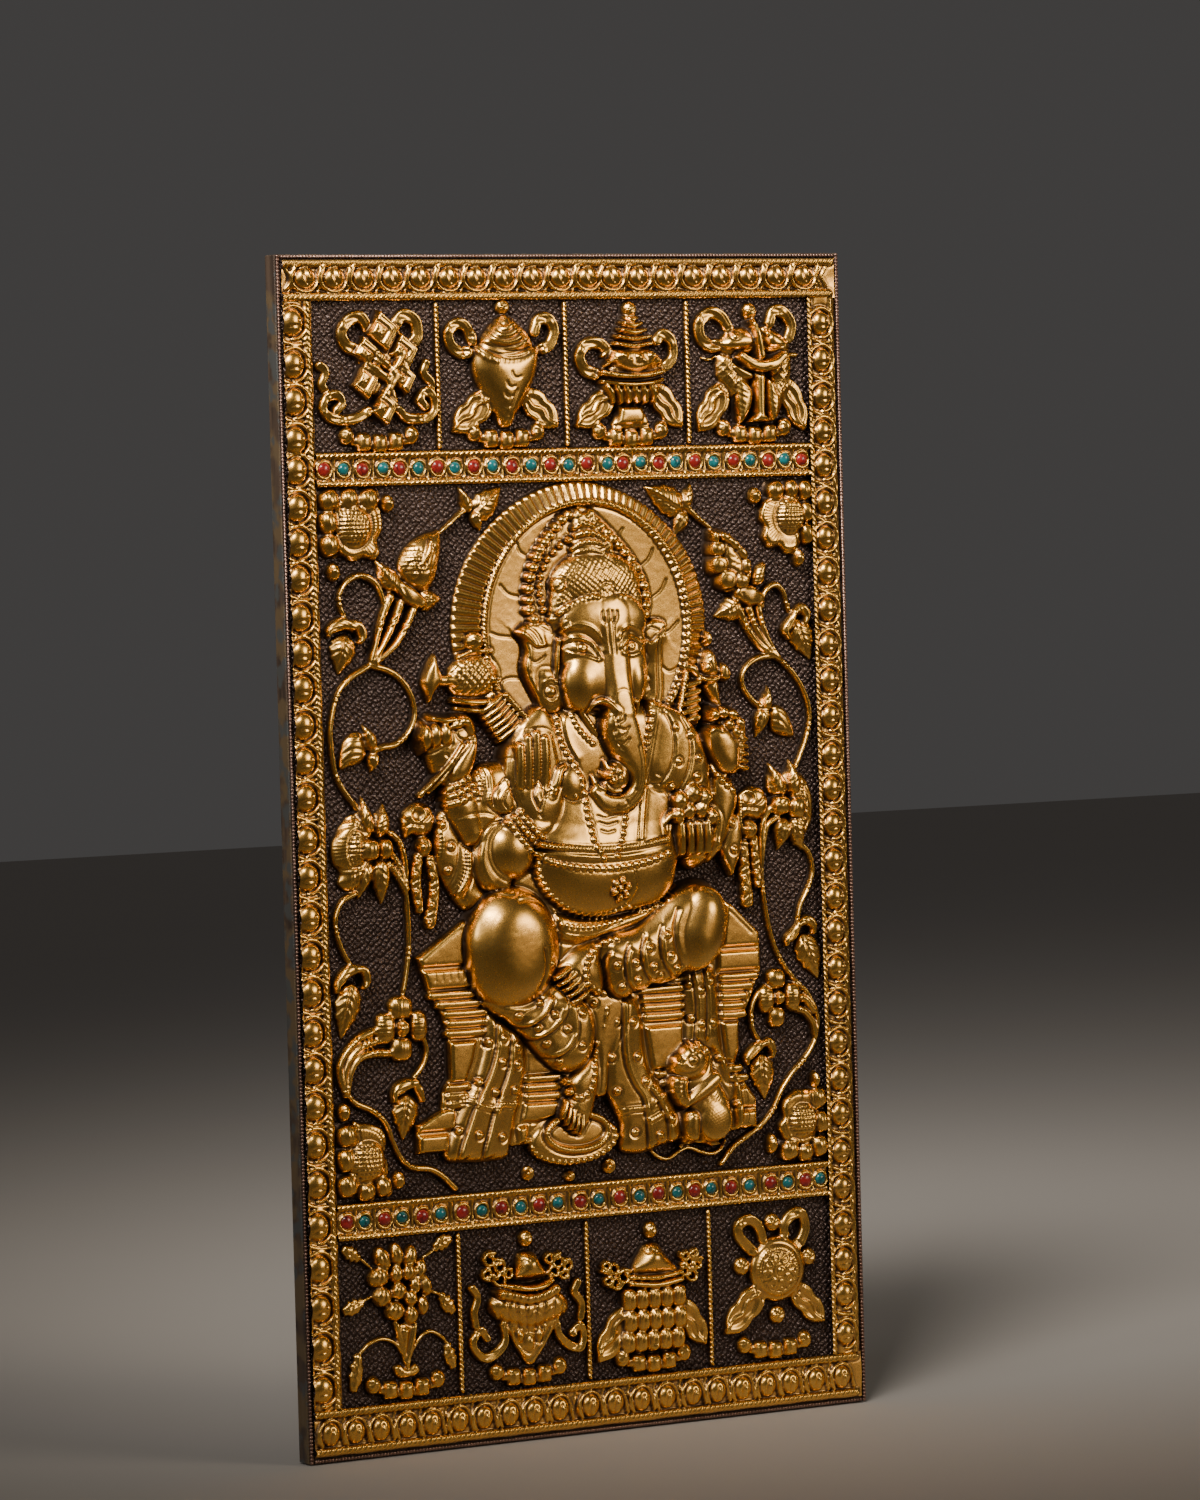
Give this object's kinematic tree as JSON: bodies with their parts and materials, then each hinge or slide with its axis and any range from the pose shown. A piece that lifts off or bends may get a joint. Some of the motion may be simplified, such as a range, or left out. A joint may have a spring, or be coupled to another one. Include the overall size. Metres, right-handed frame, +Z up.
{
  "type": "brass wall plaque",
  "caption": "Upright brass-sheet wall plaque on a board: an elephant-headed figure seated on a stepped throne, in high relief, framed by symbols, set stones and a studded border.",
  "frame": {"origin": "centre of the board's flat back, the face that lies on the wall", "axes": "+X to the viewer's right, +Y into the wall, so that the relief faces -Y, and +Z up"},
  "size_m": [0.395, 0.04, 0.723],
  "materials": {
    "board": "dark stained, rubbed with metal dust at the edges",
    "brass": "polished on the raised parts, dark patina in the ground and hollows",
    "wire": "dark coppery, satin",
    "coral": "polished",
    "turquoise": "polished"
  },
  "bodies": {
    "root": {"backing_board": "board", "relief_sheet": "brass", "beaded_wire_top": "wire", "beaded_wire_bottom": "wire", "beaded_wire_left": "wire", "beaded_wire_right": "wire", "stone_upper_01": "coral", "stone_upper_02": "turquoise", "stone_upper_03": "coral", "stone_upper_04": "turquoise", "stone_upper_05": "coral", "stone_upper_06": "turquoise", "stone_upper_07": "coral", "stone_upper_08": "turquoise", "stone_upper_09": "coral", "stone_upper_10": "turquoise", "stone_upper_11": "coral", "stone_upper_12": "turquoise", "stone_upper_13": "coral", "stone_upper_14": "turquoise", "stone_upper_15": "coral", "stone_upper_16": "turquoise", "stone_upper_17": "coral", "stone_upper_18": "turquoise", "stone_upper_19": "coral", "stone_upper_20": "turquoise", "stone_upper_21": "coral", "stone_upper_22": "turquoise", "stone_upper_23": "coral", "stone_upper_24": "turquoise", "stone_upper_25": "coral", "stone_upper_26": "turquoise", "stone_upper_27": "coral", "stone_lower_01": "coral", "stone_lower_02": "turquoise", "stone_lower_03": "coral", "stone_lower_04": "turquoise", "stone_lower_05": "coral", "stone_lower_06": "turquoise", "stone_lower_07": "coral", "stone_lower_08": "turquoise", "stone_lower_09": "coral", "stone_lower_10": "turquoise", "stone_lower_11": "coral", "stone_lower_12": "turquoise", "stone_lower_13": "coral", "stone_lower_14": "turquoise", "stone_lower_15": "coral", "stone_lower_16": "turquoise", "stone_lower_17": "coral", "stone_lower_18": "turquoise", "stone_lower_19": "coral", "stone_lower_20": "turquoise", "stone_lower_21": "coral", "stone_lower_22": "turquoise", "stone_lower_23": "coral", "stone_lower_24": "turquoise", "stone_lower_25": "coral", "stone_lower_26": "turquoise"}
  },
  "joints": []
}
